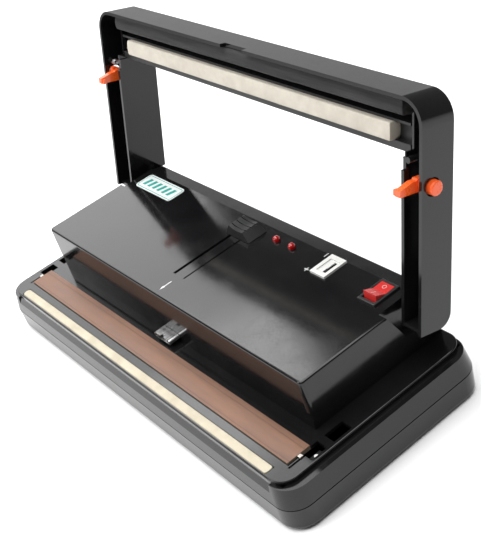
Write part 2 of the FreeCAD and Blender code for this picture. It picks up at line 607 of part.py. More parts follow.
def make_knob():
    foot = "cover_top_z + fit_gap"
    block = doc.addObject("Part::Wedge", "knob_block")
    block.Placement.Rotation = FreeCAD.Rotation(FreeCAD.Vector(1, 0, 0), 90)
    bind(block, Ymin=foot, Ymax=foot + " + knob_high", Xmin="-knob_half", Xmax="knob_half",
         X2min="-knob_half + 4",
         X2max="knob_half - 6.5", Zmin="-(knob_front + knob_long)", Zmax="-knob_front",
         Z2min="-(knob_front + knob_long) + 1.2",
         Z2max="-knob_front - 1.2", Placement__Base__y="base_front")
    dip = rod("knob_dip", "24", "knob_long + 2", "1", "knob_front - 1", foot + " + knob_high + 22.4", "y")
    grips = [box("knob_grip_%d" % number, ("-knob_half", "knob_half"), ("knob_front + %.1f"
            % (3.6 + 4.2 * number),
                 "knob_front + %.1f" % (4.4 + 4.2 * number)), (foot + " + knob_high - 1.9",
                                                               foot + " + knob_high + 1"))
                                                               for number in range(3)]
    legs = [box(name, ("%s - (%s) / 2 + 0.25" % (x, wide), "%s + (%s) / 2 - 0.25" % (x, wide)),
                ("knob_front + 1", "knob_front + knob_long - 1.5"), ("cover_top_z - cover_wall - 0.4",
                                                                     foot + " + 0.5"))
            for name, x, wide in (("knob_leg", "guide_x", "guide_slot"),
                                  ("knob_rib", "thin_x", "thin_slot"))]
    return fuse("slider_knob", cut("knob_top", block, dip, *grips), *legs)


# ---- controls -----------------------------------------------------------------------------------
def make_switch():
    well_wide, well_half = "rocker_wide / 2 + 0.3", "rocker_half + 1.2"
    frame = box("bezel_flange", ("switch_x - bezel_wide / 2", "switch_x + bezel_wide / 2"),
                ("switch_y - bezel_long / 2", "switch_y + bezel_long / 2"),
                ("cover_top_z", "cover_top_z + bezel_thick"))
    frame = rounded("bezel_round", frame, 0.6, lambda edge: level_at(edge,
                                                                     size["cover_top_z"]
                                                                     + size["bezel_thick"]))
    body = box("bezel_body", ("switch_x - bezel_wide / 2 + 1", "switch_x + bezel_wide / 2 - 1"),
               ("switch_y - bezel_long / 2 + 1", "switch_y + bezel_long / 2 - 1"),
               ("cover_top_z - 14", "cover_top_z + 0.5"))
    well = box("bezel_well", ("switch_x - (%s)" % well_wide, "switch_x + " + well_wide),
               ("switch_y - (%s)" % well_half, "switch_y + " + well_half),
               ("cover_top_z - 9", "cover_top_z + 3"))
    seat = rod("trunnion_seat", "trunnion_radius + 0.05", "rocker_wide + 1.4",
               "switch_x - rocker_wide / 2 - 0.7",
               "switch_y", "cover_top_z - 2", "x")
    bezel = cut("switch_bezel", fuse("bezel_blank", frame, body), well, seat)
    terminals = [box("terminal_%d" % number, ("switch_x - 0.4 + (%d)" % offset,
                                              "switch_x + 0.4 + (%d)" % offset),
                     ("switch_y - 3", "switch_y + 3"), ("cover_top_z - 21", "cover_top_z - 14"))
                 for number, offset in enumerate((-4, 4))]
    paddle = profile("rocker_paddle", (("0 - rocker_half", "5.2"), ("0", "3.4"), ("rocker_half", "5.2"),
                                      ("rocker_half - 0.6", "0 - 4"), ("0.6 - rocker_half", "0 - 4")),
                     "switch_x - rocker_wide / 2", "rocker_wide")
    paddle.Placement.Rotation = FreeCAD.Rotation(FreeCAD.Vector(1, 0, 0), -size["rocker_tilt"])
    place(paddle, "switch_x - rocker_wide / 2", "switch_y", "cover_top_z - 2")
    trunnion = rod("rocker_trunnion", "trunnion_radius", "rocker_wide + 1.2",
                   "switch_x - rocker_wide / 2 - 0.6",
                   "switch_y", "cover_top_z - 2", "x")
    rocker = fuse("rocker_blank", paddle, trunnion)
    return bezel, group("switch_terminals", *terminals), rocker


def make_timer():
    half_wide, half_long = "timer_wide / 2", "timer_long / 2"
    plate = box("timer_blank", ("timer_x - " + half_wide, "timer_x + " + half_wide),
                ("timer_y - " + half_long, "timer_y + " + half_long), ("cover_top_z",
                        "cover_top_z + timer_thick"))
    dish = box("timer_dish", ("timer_x - 4", "timer_x + 5.2"), ("timer_y - 6.5", "timer_y + 6"),
               ("cover_top_z + 0.8", "cover_top_z + 4"))
    slot = box("timer_slot", ("timer_x + 0.9", "timer_x + 3.3"), ("timer_y - 5.5", "timer_y + 5"),
               ("cover_top_z - 1", "cover_top_z + 4"))
    plate = cut("timer_plate", plate, dish, slot)
    lever = box("timer_lever", ("timer_x + 1.3", "timer_x + 2.9"), ("timer_y - 5.2", "timer_y - 2.2"),
                ("cover_top_z - 1.8", "cover_top_z + 1.3"))
    body = box("timer_pot", ("timer_x - 5", "timer_x + 5"), ("timer_y - 8.4", "timer_y + 8.4"),
               ("cover_top_z - 8", "cover_top_z - 2.6"))
    board = box("panel_board", ("lamp_x - 6", "timer_x + 8"), ("timer_y - 11", "timer_y + 11"),
                ("cover_top_z - 9.6", "cover_top_z - 8"))
    return plate, lever, body, board


def make_lamp(number):
    """A round lamp with a domed end, a flange and two legs."""
    x, top = "lamp_x + %d * lamp_pitch" % number, "cover_top_z - 4"
    barrel = rod("lamp_barrel_%d" % number, "lamp_radius", "5", x, "lamp_y", top)
    dome = doc.addObject("Part::Sphere", "lamp_dome_%d" % number)
    bind(dome, Radius="lamp_radius")
    place(dome, x, "lamp_y", top + " + 5")
    flange = rod("lamp_flange_%d" % number, "lamp_radius + 0.4", "1", x, "lamp_y", top)
    legs = [rod("lamp_leg_%d_%d" % (number, leg), "0.25", "4.2", x + " + (%.2f)" % (2.54 * leg - 1.27),
                "lamp_y", "cover_top_z - 8")
            for leg in range(2)]
    return fuse(("lamp_vacuum", "lamp_sealing")[number], barrel, dome, flange, *legs)


def make_label():
    plate = box("label_blank", ("label_x - label_wide / 2", "label_x + label_wide / 2"),
                ("label_y - label_deep / 2", "label_y + label_deep / 2"),
                ("cover_top_z", "cover_top_z + label_thick"))
    return rounded("label_plate", plate, 3.0, lambda edge: along(edge, "z"))


# ---- inside -------------------------------------------------------------------------------------
def make_pump():
    motor = rod("motor_can", "pump_radius", "32", "-74", "pump_y", "floor_z + 8 + pump_radius", "x")
    shaft = rod("motor_shaft", "1.5", "3", "-42", "pump_y", "floor_z + 8 + pump_radius", "x")
    head = box("pump_head", ("-100", "-74"), ("pump_y - 14", "pump_y + 14"),
               ("floor_z + 5", "floor_z + 34"))
    head = rounded("pump_block", head, 3.0, lambda edge: along(edge, "x"))
    port = rod("pump_port", "2.4", "6", "-87", "pump_y + 13", "floor_z + 24", "y")
    cradle = box("cradle_block", ("-72", "-46"), ("pump_y - 13", "pump_y + 13"),
                 ("floor_z", "floor_z + 12"))
    seat = rod("cradle_seat", "pump_radius + 0.02", "30", "-74", "pump_y", "floor_z + 8 + pump_radius", "x")
    return fuse("pump_motor", motor, shaft), fuse("vacuum_pump", head, port), cut("pump_cradle", cradle,
            seat)


def make_hose():
    """Air hose from the pump round to the nozzle's barb: straight runs and tangent arcs."""
    front = base_front_y()
    floor = size["foot_height"] + size["case_wall"]
    barb_y = front + size["nozzle_tip"] + size["nozzle_long"] + 12.4
    barb_z = size["nozzle_z"] + size["nozzle_high"] / 2
    port_y = front + size["pump_y"] + 19.4
    bend_y = max(barb_y, port_y) + 20
    points = [FreeCAD.Vector(-87, port_y, floor + 24), FreeCAD.Vector(-87, bend_y, floor + 24),
              FreeCAD.Vector(-44, bend_y, (barb_z + floor + 24) / 2), FreeCAD.Vector(0, bend_y, barb_z),
              FreeCAD.Vector(0, barb_y, barb_z)]
    edges, last = [], points[0]
    for before, corner, after in zip(points, points[1:], points[2:]):
        entry, leave = (before - corner).normalize(), (after - corner).normalize()
        turn = math.pi - entry.getAngle(leave)
        cut_back = 0.45 * min((before - corner).Length, (after - corner).Length)
        radius = cut_back / math.tan(turn / 2)
        start, stop = corner + entry * cut_back, corner + leave * cut_back
        middle_way = (entry + leave).normalize()
        middle = corner + middle_way * (radius / math.cos(turn / 2) - radius)
        edges += [Part.LineSegment(last, start).toShape(), Part.Arc(start, middle, stop).toShape()]
        last = stop
    edges.append(Part.LineSegment(last, points[-1]).toShape())
    path = Part.Wire(edges)
    rings = [Part.Wire(Part.makeCircle(radius, points[0], FreeCAD.Vector(0, 1, 0)))
             for radius in (3.6, 2.6)]
    tubes = [path.makePipeShell([ring], True, False) for ring in rings]
    hose = doc.addObject("Part::Feature", "air_hose")
    hose.Shape = tubes[0].cut(tubes[1])
    return hose


def make_transformer():
    deep = ("core_y - 9", "core_y + 9")
    blank = box("core_blank", ("core_x - 24", "core_x + 24"), deep, ("floor_z", "floor_z + 40"))
    windows = [box("core_window_%d" % number, ("core_x + (%d)" % start, "core_x + (%d)" % (start + 8)),
                   ("core_y - 10", "core_y + 10"),
                   ("floor_z + 8", "floor_z + 32")) for number, start in enumerate((-16, 8))]
    coil = box("coil_blank", ("core_x - 15.6", "core_x + 15.6"), ("core_y - 18", "core_y + 18"),
               ("floor_z + 8.4", "floor_z + 31.6"))
    coil = rounded("coil_round", coil, 3.0, lambda edge: along(edge, "z"))
    limb = box("coil_limb", ("core_x - 8.3", "core_x + 8.3"), ("core_y - 9.3", "core_y + 9.3"),
               ("floor_z", "floor_z + 40"))
    return cut("transformer_core", blank, *windows), cut("transformer_coil", coil, limb)


def make_board():
    board = box("circuit_board", ("20", "64"), ("66", "104"), ("floor_z + 7.8", "floor_z + 9.4"))
    relay = box("relay_block", ("26", "41"), ("72", "91"), ("floor_z + 9.4", "floor_z + 24"))
    capacitor = rod("capacitor_can", "5", "14", "54", "78", "floor_z + 9.4")
    return (board, rounded("relay", relay, 0.8, lambda edge: along(edge, "z")),
            rounded("capacitor", capacitor, 0.8, lambda edge: level_at(edge,
                    size["foot_height"] + size["case_wall"] + 23.4)))


def make_lid_switch():
    """Small switch under the right-hand deck hole that a peg of the lid comes down on."""
    x, y = "hole_x + hole_wide / 2", "switch_hole + switch_hole_long / 2"
    body = box("lid_switch", (x + " - 3.2", x + " + 3.2"), (y + " - 4.9", y + " + 4.9"),
               ("deck_z - case_wall - 13", "deck_z - case_wall - 3.4"))
    bore = rod("plunger_bore", "1.3", "4", x, y, "deck_z - case_wall - 6")
    plunger = rod("switch_plunger", "1.25", "3.2", x, y, "deck_z - case_wall - 5")
    body.Label = "lid_switch_blank"
    return cut("lid_switch_body", body, bore), plunger


# ---- lid frame ----------------------------------------------------------------------------------
def base_front_y():
    """The base front's Y, worked out as the sheet's formulas do."""
    lean = math.radians(size["open_angle"] - 90)
    reach = size["hinge_back"] + (size["hinge_back"] - size["window_front"]
                                  + size["ridge_wide"]) * math.sin(lean)
    return -(reach + (size["ridge_z"] - size["hinge_z"]) * math.cos(lean)) / 2


def opened(piece):
    """Turn a finished lid piece from closed to the open stop."""
    piece.Placement.Rotation = FreeCAD.Rotation(FreeCAD.Vector(1, 0, 0), -size["open_angle"])
    return bind(piece, Placement__Base__y="hinge_y - hinge_y * cos(open_angle) - hinge_z * sin(open_angle)",
                Placement__Base__z="hinge_z + hinge_y * sin(open_angle) - hinge_z * cos(open_angle)")


def make_lid_frame():
    blank = box("lid_blank", ("-lid_half", "lid_half"), ("0", "arm_end"), ("rim_z", "lid_top"))
    front = base_front_y()
    blank = rounded("lid_corners", blank, size["lid_corner"], lambda edge: along(edge, "z")
                    and span(edge).YMax < front + 1)
    crown = doc.addObject("Part::Wedge", "lid_crown")
    crown.Placement.Rotation = FreeCAD.Rotation(FreeCAD.Vector(1, 0, 0), 90)
    bind(crown, Ymin="lid_top - lid_wall", Ymax="ridge_z", Xmin="-lid_half", Xmax="lid_half",
         X2min="-window_half - ridge_wide",
         X2max="window_half + ridge_wide", Zmin="-(arm_end - arm_round)", Zmax="0",
         Z2min="-(arm_end - arm_round - 3)",
         Z2max="-(window_front - ridge_wide)", Placement__Base__y="base_front")
    outline = box("lid_outline", ("-lid_half", "lid_half"), ("0", "arm_end"), ("rim_z", "ridge_z + 1"))
    outline = rounded("lid_outline_round", outline, size["lid_corner"], lambda edge: along(edge, "z")
                      and span(edge).YMax < front + 1)
    window = box("lid_window", ("-window_half", "window_half"), ("window_front", "arm_end + 1"),
                 ("rim_z - 1", "ridge_z + 1"))
    window = rounded("lid_window_round", window, 2.0, lambda edge: along(edge, "z")
                     and span(edge).YMax < front + size["window_front"] + 1)
    end = front + size["hinge_back"] - size["arm_short"]
    top = size["rim_z"] + size["lid_height"]
    frame = rounded("lid_arm_ends", blank, size["arm_round"], lambda edge: along(edge, "x")
                    and level_at(edge, top)
                    and span(edge).YMin > end - 1)
    frame = cut("lid_u", fuse("lid_crowned", frame, common("lid_crown_round", crown, outline)), window)
    inside = [box("bar_hollow", ("-lid_half + lid_wall", "lid_half - lid_wall"),
                  ("lid_wall", "window_front - lid_wall"),
                  ("rim_z - 1", "lid_top - lid_wall"))]
    inside[0] = rounded("bar_hollow_round", inside[0], size["lid_corner"] - size["lid_wall"],
                        lambda edge: along(edge, "z") and span(edge).YMax < front + size["lid_wall"] + 1)
    for side, start in (("left", "-lid_half + lid_wall"), ("right", "window_half + lid_wall")):
        hollow = box("arm_hollow_" + side, (start, start + " + lid_half - window_half - lid_wall * 2"),
                     ("window_front - lid_wall - 8", "arm_end - lid_wall"),
                     ("rim_z - 1", "lid_top - lid_wall"))
        inside.append(rounded("arm_hollow_round_" + side, hollow, size["arm_round"] - size["lid_wall"],
                              lambda edge: along(edge, "x") and level_at(edge, top - size["lid_wall"])
                              and span(edge).YMin > front + 80))
    for side, near, far, near_top, far_top in (
            ("left", "-lid_half + lid_wall", "-window_half - lid_wall", "-window_half - lid_wall - 1.4",
             "-window_half - lid_wall"),
            ("right", "window_half + lid_wall", "lid_half - lid_wall", "window_half + lid_wall",
             "window_half + lid_wall + 1.4")):
        attic = doc.addObject("Part::Wedge", "arm_attic_" + side)
        attic.Placement.Rotation = FreeCAD.Rotation(FreeCAD.Vector(1, 0, 0), 90)
        bind(attic, Ymin="lid_top - lid_wall - 0.5", Ymax="ridge_z - lid_wall * 2.5", Xmin=near, Xmax=far,
             X2min=near_top, X2max=far_top,
             Zmin="-(arm_end - arm_round - lid_wall * 2)", Zmax="-(window_front + 6)",
             Z2min="-(arm_end - arm_round - lid_wall * 3)",
             Z2max="-(window_front + 6)", Placement__Base__y="base_front")
        inside.append(attic)
    inside.append(box("holder_bay", ("-silicone_half - 12.3", "silicone_half + 12.3"),
                      ("silicone_front", "window_front + 1"),
                      ("rim_z - 1", "lid_top - lid_wall")))
    inside.append(box("inner_rim_step", ("-window_half - lid_wall - 0.1", "window_half + lid_wall + 0.1"),
                      ("window_front - lid_wall - 0.1", "arm_end + 1"), ("rim_z - 1", "deck_z + 0.25")))
    inside.append(box("bar_rim_step", ("-window_half - lid_wall - 0.1", "window_half + lid_wall + 0.1"),
                      ("window_front - lid_wall - 0.1", "window_front + 8"),
                      ("rim_z - 1", "heater_top + tape_thick + 0.6")))
    inside.append(box("arm_end_step", ("-deck_half - 0.2", "deck_half + 0.2"),
                      ("arm_end - lid_wall - 0.1", "arm_end + 1"),
                      ("rim_z - 1", "deck_z + 0.25")))
    inside.append(box("nozzle_way", ("-nozzle_half - 2", "nozzle_half + 2"), ("0 - 1", "lid_wall + 0.2"),
                      ("rim_z - 1", "rim_z + 4")))
    for side, sign in (("left", "-"), ("right", "")):
        start = sign + "lid_half" + (" - 1" if sign else " - lid_wall - 1")
        inside.append(rod("button_hole_" + side, "button_radius + 1.0", "lid_wall + 2", start, "latch_y",
                          "button_z", "x"))
    shell = cut("lid_shell", frame, *inside)
    added = [box("end_rib_" + side, (start, start + " + 1.4"), ("lid_wall - 0.2",
                                                                "window_front - lid_wall + 0.2"),
                 ("silicone_z + 4", "lid_top - lid_wall + 0.2")) for side, start in
             (("left", "-(silicone_half + 14.5)"), ("right", "silicone_half + 13.1"))]
    bores = []
    for side, start in (("left", "-window_half - 0.8"), ("right", "window_half - lug_wide")):
        long = "lug_wide + 0.8"
        added.append(box("lug_web_" + side, (start, "%s + %s" % (start, long)),
                         ("hinge_back - lug_web", "hinge_back"),
                         ("hinge_z - lug_radius + 0.2", "lid_top - lid_round")))
        lug_start = "-window_half" if side == "left" else start
        added.append(rod("lug_" + side, "lug_radius", "lug_wide", lug_start, "hinge_back", "hinge_z", "x"))
        bores.append(rod("lug_bore_" + side, "pin_radius + pin_play", "lug_wide + 4", start + " - 1",
                         "hinge_back", "hinge_z", "x"))
    peg_x, peg_y = "hole_x + hole_wide / 2", "switch_hole + switch_hole_long / 2"
    added.append(rod("switch_peg", "1.8", "lid_top - lid_wall - (deck_z - case_wall - 1.4) + 0.5", peg_x,
                     peg_y, "deck_z - case_wall - 1.4"))
    return opened(cut("lid_frame", fuse("lid_built", shell, *added), *bores))


def make_hinge_pins():
    pins = []
    for side, start in (("left", "-window_half + 0.2"),
                        ("right", "recess_half - cover_wall - 0.4 - post_wide")):
        long = "window_half - 0.2 - (recess_half - cover_wall - 0.4 - post_wide)"
        pins.append(rod("hinge_pin_" + side, "pin_radius", long, start, "hinge_back", "hinge_z", "x"))
    return pins


def make_sponge():
    strip = box("sponge_block", ("-strip_half", "strip_half"), ("lid_wall + fit_gap",
                                                                "lid_wall + fit_gap + sponge_width"),
                ("deck_z + strip_proud + fit_gap", "lid_top - lid_wall"))
    return opened(rounded("lid_sponge", strip, 1.2, lambda edge: along(edge, "x")
                          and span(edge).ZMax < size["deck_z"] + 5))


def make_silicone_bar():
    bar = box("silicone_block", ("-silicone_half", "silicone_half"), ("silicone_front",
                                                                      "silicone_front + silicone_width"),
              ("silicone_z", "silicone_z + silicone_high"))
    return opened(rounded("silicone_bar", bar, 0.8, lambda edge: along(edge, "x")
                          and span(edge).ZMax < size["silicone_z"] + 1))


def make_bar_holder():
    half = "silicone_half + 12"
    rail = box("holder_rail", ("-(%s)" % half, half), ("silicone_front - holder_wall", "window_front"),
               ("silicone_z + silicone_high - holder_grip", "lid_top - lid_wall"))
    seat = box("holder_seat", ("-(%s) - 1" % half, half + " + 1"), ("silicone_front",
                                                                    "silicone_front + silicone_width"),
               ("silicone_z", "silicone_z + silicone_high"))
    return opened(cut("bar_holder", rail, seat))


def make_latch():
    """A rocking latch: a hook that drops through the deck, and a round button through the arm.

    The hook's front edge leans back, because the hook swings about the hinge line on its way
    through the deck hole.
    """
    front, rear = "latch_y - latch_long / 2", "latch_y + latch_long / 2"
    tip = "rim_z - hook_drop"
    shank_x = "hole_x + 2.6"
    shank = profile("latch_shank", ((front, "button_z + button_radius - 0.6"), (front, "deck_z + 1.2"),
                                    (front + " + 1", "deck_z + 0.4"),
                                    (front + " + 1", "rim_z"), ("latch_y", tip),
                                    (rear, tip), (rear, "button_z + button_radius - 0.6")), shank_x, "4")
    nose = profile("latch_nose", (("latch_y + 0.4", tip + " + 3"), ("latch_y + 0.4", tip + " + 0.6"),
                                  (rear, tip + " + 0.6"),
                                  (rear, tip + " + 3")), "hole_x + 0.5", "3")
    button = rod("latch_button", "button_radius", "lid_half + button_proud - (%s) - 3" % shank_x,
                 shank_x + " + 3", "latch_y", "button_z", "x")
    button = rounded("latch_button_round", button, 1.2, lambda edge: span(edge).XMin > size["lid_half"] + 1)
    pivot = rod("latch_pivot", "1.6", "latch_long + 3", "latch_pivot_x", "latch_y - latch_long / 2 - 1.5",
                "latch_pivot_z", "y")
    return fuse("latch_right_blank", shank, nose, button, pivot)


def make_latches():
    right = make_latch()
    left = mirrored("latch_left", right)
    return opened(left), opened(group("latch_right", right))


def make_latch_springs():
    """Small springs inside the arms that push the hooks inward."""
    springs = []
    front = base_front_y()
    for side, sign in (("left", -1), ("right", 1)):
        near = size["hole_x"] + 6.9
        far = size["lid_half"] - size["lid_wall"] - 0.3
        spot = FreeCAD.Vector(sign * near if sign > 0 else -far, front + size["latch_y"] - 8.5,
                              size["rim_z"] + 8)
        spring = coil_spring("latch_spring_" + side, 1.9, 0.35, far - near, 4, spot, "x")
        turn = FreeCAD.Rotation(FreeCAD.Vector(1, 0, 0), -size["open_angle"])
        hinge = FreeCAD.Vector(0, front + size["hinge_back"], size["hinge_z"])
        spring.Placement = FreeCAD.Placement(hinge - turn.multVec(hinge), turn).multiply(spring.Placement)
        springs.append(spring)
    return springs


# ---- build, check and write ---------------------------------------------------------------------
def build():
    parts = {"lower_case": make_lower_case(), "upper_case": make_upper_case(),
             "housing_cover": make_housing_cover(),
             "rubber_feet": make_feet(), "case_screws": make_case_screws(),
             "lead_bushing": make_lead_bushing(),
             "foam_strip": make_foam_strip(), "heater_base": make_heater_base(),
             "heating_ribbon": make_heating_ribbon(),
             "ptfe_tape": make_tape(), "nozzle": make_nozzle(), "nozzle_carriage": make_carriage(),
             "slider_knob": make_knob(), "label_plate": make_label(), "air_hose": make_hose(),
             "lid_frame": make_lid_frame(), "lid_sponge": make_sponge(),
             "silicone_bar": make_silicone_bar(),
             "bar_holder": make_bar_holder(), "lamp_vacuum": make_lamp(0), "lamp_sealing": make_lamp(1)}
    for names, pieces in ((("ribbon_spring_left", "ribbon_spring_right"), make_ribbon_springs()),
                          (("switch_bezel", "switch_terminals", "power_rocker"), make_switch()),
                          (("timer_plate", "timer_lever", "timer_pot", "panel_board"), make_timer()),
                          (("pump_motor", "vacuum_pump", "pump_cradle"), make_pump()),
                          (("transformer_core", "transformer_coil"), make_transformer()),
                          (("circuit_board", "relay", "capacitor"), make_board()),
                          (("lid_switch", "switch_plunger"), make_lid_switch()),
                          (("hinge_pin_left", "hinge_pin_right"), make_hinge_pins()),
                          (("latch_left", "latch_right"), make_latches()),
                          (("latch_spring_left", "latch_spring_right"), make_latch_springs())):
        parts.update(zip(names, pieces))
    return parts


parts = build()
doc.recompute()
for thing in doc.Objects:
    if {"Invalid", "Error"} & set(thing.State):
        raise RuntimeError("%s failed: %s" % (thing.Label, thing.State))
for name, piece in parts.items():
    if piece.Shape.isNull() or not piece.Shape.isValid() or not piece.Shape.Solids:
        raise RuntimeError("bad shape: " + name)
    piece.Label = name
os.makedirs("parts", exist_ok=True)
for name, piece in parts.items():
    piece.Shape.exportStep(os.path.join("parts", name + ".step"))
print("wrote", len(parts), "parts")
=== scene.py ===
"""The looks of a household vacuum bag sealer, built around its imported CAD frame.  Lengths are metres."""
import json
import math

import bmesh
import bpy
from mathutils import Matrix, Vector, noise


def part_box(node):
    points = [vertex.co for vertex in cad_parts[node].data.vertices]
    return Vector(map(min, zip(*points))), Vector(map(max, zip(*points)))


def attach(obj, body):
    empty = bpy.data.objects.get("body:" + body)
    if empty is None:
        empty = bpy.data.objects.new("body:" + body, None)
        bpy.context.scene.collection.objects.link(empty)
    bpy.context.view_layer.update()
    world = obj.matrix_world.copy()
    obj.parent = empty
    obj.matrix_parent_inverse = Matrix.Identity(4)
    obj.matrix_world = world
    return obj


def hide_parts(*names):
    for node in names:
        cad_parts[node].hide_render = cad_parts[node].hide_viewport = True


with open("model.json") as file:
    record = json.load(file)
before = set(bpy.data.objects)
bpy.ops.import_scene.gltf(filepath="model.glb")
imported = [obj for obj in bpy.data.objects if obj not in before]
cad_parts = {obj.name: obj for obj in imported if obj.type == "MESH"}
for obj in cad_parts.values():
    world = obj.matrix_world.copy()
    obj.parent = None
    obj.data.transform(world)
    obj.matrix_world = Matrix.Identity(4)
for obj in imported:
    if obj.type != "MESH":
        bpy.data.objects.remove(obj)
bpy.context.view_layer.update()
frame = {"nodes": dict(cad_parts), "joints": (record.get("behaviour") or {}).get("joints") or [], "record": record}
MM = 0.001
joints = {joint["name"]: joint for joint in frame["joints"]}
HINGE = Vector(joints["lid_hinge"]["pos_m"])
OPEN_ANGLE = math.radians(-joints["lid_hinge"]["range_deg"][0])
# Lid pieces are built with the lid closed, and this turns them open about the hinge line.
TO_OPEN = Matrix.Translation(HINGE) @ Matrix.Rotation(-OPEN_ANGLE, 4, "X") @ Matrix.Translation(-HINGE)


def box_corners(name):
    """A node's lowest and highest corners as it stands."""
    low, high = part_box(name)
    return Vector(low), Vector(high)


def closed_box_corners(name):
    """A lid node's lowest and highest corners with the lid closed."""
    back = TO_OPEN.inverted()
    points = [back @ vertex.co for vertex in frame["nodes"][name].data.vertices]
    return (Vector(min(point[axis] for point in points) for axis in range(3)),
            Vector(max(point[axis] for point in points) for axis in range(3)))


# ---- shader nodes -------------------------------------------------------------------------------
# The Mix node's sockets for colours, by number, because its names repeat for each kind of data.
MIX_SHARE, MIX_BASE, MIX_OVER, MIX_RESULT = 0, 6, 7, 2
# Nearly all of a noise lies between these two.
NOISE_LOW, NOISE_HIGH = 0.3, 0.7
# Every material by its name.
LOOK = {}


def shader(name):
    """A new material kept in LOOK, with its node tree, Principled shader and object coordinates."""
    material = bpy.data.materials.new(name)
    LOOK[name] = material
    material.use_nodes = True
    tree = material.node_tree
    surface = tree.nodes["Principled BSDF"]
    place = tree.nodes.new("ShaderNodeTexCoord")
    return material, tree, surface, place.outputs["Object"]


def node(tree, kind, inputs=None, **settings):
    """A shader node whose inputs are linked to sockets or set to numbers."""
    made = tree.nodes.new("ShaderNode" + kind)
    for key, value in settings.items():
        setattr(made, key, value)
    for key, value in (inputs or {}).items():
        if isinstance(value, bpy.types.NodeSocket):
            tree.links.new(value, made.inputs[key])
        else:
            made.inputs[key].default_value = value
    return made


def calculate(tree, operation, *values):
    """The result of a Math node."""
    return node(tree, "Math", dict(enumerate(values)), operation=operation).outputs["Value"]


def speckle(tree, place, scale, detail=3.0):
    """Noise from 0 to 1 whose grains are about 1/scale metres wide."""
    return node(tree, "TexNoise", {"Vector": place, "Scale": scale, "Detail": detail,
                                   "Roughness": 0.6}).outputs["Fac"]


def stretched(tree, place, factors):
    """Coordinates multiplied axis by axis: a pattern on them is drawn out where a factor is small."""
    return node(tree, "Mapping", {"Vector": place, "Scale": factors}).outputs["Vector"]


def span_map(tree, value, low, high, start=NOISE_LOW, stop=NOISE_HIGH):
    """Stretch noise between start and stop over low to high."""
    return node(tree, "MapRange", {"Value": value, "From Min": start, "From Max": stop, "To Min": low,
                                   "To Max": high}).outputs["Result"]


def tint(tree, value, dark, light):
    """The dark colour where a noise is low, the light one where it is high, and a blend between."""
    ramp = node(tree, "ValToRGB", {"Fac": value})
    first, last = ramp.color_ramp.elements
    first.position, last.position = NOISE_LOW, NOISE_HIGH
    first.color = (*dark, 1)
    last.color = (*light, 1)
    return ramp.outputs["Color"]


def multiplied(tree, share, base, over):
    """The base colour, darkened by a share of the colour over it."""
    return node(tree, "Mix", {MIX_SHARE: share, MIX_BASE: base, MIX_OVER: over}, data_type="RGBA",
                blend_type="MULTIPLY").outputs[MIX_RESULT]


def bump(tree, surface, height, depth, strength=0.5):
    """Relief of a depth in metres on a surface, where height is 1."""
    made = node(tree, "Bump", {"Height": height, "Distance": depth, "Strength": strength})
    tree.links.new(made.outputs["Normal"], surface.inputs["Normal"])


# ---- kinds of material --------------------------------------------------------------------------
def moulded(name, dark, light, rough, grain=900.0, depth=0.02 * MM, coat=0.0, specular=0.5):
    """Moulded plastic: slow colour drift, handling marks in the gloss and a fine skin.

    rough is the lowest and highest roughness, and grain is about how many grains of skin a metre has.
    """
    material, tree, surface, place = shader(name)
    drift = speckle(tree, place, 14.0)
    tree.links.new(tint(tree, drift, dark, light), surface.inputs["Base Color"])
    smears = speckle(tree, place, 60.0, detail=5.0)
    specks = speckle(tree, place, 700.0, detail=2.0)
    marks = calculate(tree, "MULTIPLY", smears, specks)
    tree.links.new(span_map(tree, marks, *rough, start=0.15, stop=0.4), surface.inputs["Roughness"])
    surface.inputs["Coat Weight"].default_value = coat
    surface.inputs["Coat Roughness"].default_value = 0.06
    surface.inputs["Specular IOR Level"].default_value = specular
    bump(tree, surface, speckle(tree, place, grain, detail=2.0), depth)
    return material


def soft_skin(name, dark, light, pores, depth, rough=0.85, sheen=0.2, streak=1.0):
    """Foam, sponge or silicone: open pores over a mottling, drawn out along X where streak is small."""
    material, tree, surface, place = shader(name)
    drawn = stretched(tree, place, (streak, 1.0, 1.0))
    mottling = speckle(tree, drawn, 90.0 / streak ** 0.5, detail=4.0)
    tree.links.new(tint(tree, mottling, dark, light), surface.inputs["Base Color"])
    surface.inputs["Roughness"].default_value = rough
    surface.inputs["Sheen Weight"].default_value = sheen
    cells = node(tree, "TexVoronoi", {"Vector": place, "Scale": pores}).outputs["Distance"]
    uneven_cells = calculate(tree, "MULTIPLY", cells, speckle(tree, place, pores / 3))
    bump(tree, surface, uneven_cells, depth, 0.7)
    return material


def metal(name, colour, rough, squeeze, scale):
    """Brushed or drawn metal: its grains are drawn out along the axes where squeeze is smallest."""
    material, tree, surface, place = shader(name)
    streaks = speckle(tree, stretched(tree, place, squeeze), scale, detail=4.0)
    surface.inputs["Metallic"].default_value = 1.0
    darker = tuple(channel * 0.72 for channel in colour)
    tree.links.new(tint(tree, streaks, darker, colour), surface.inputs["Base Color"])
    tree.links.new(span_map(tree, streaks, *rough), surface.inputs["Roughness"])
    bump(tree, surface, streaks, 0.01 * MM, 0.4)
    return material


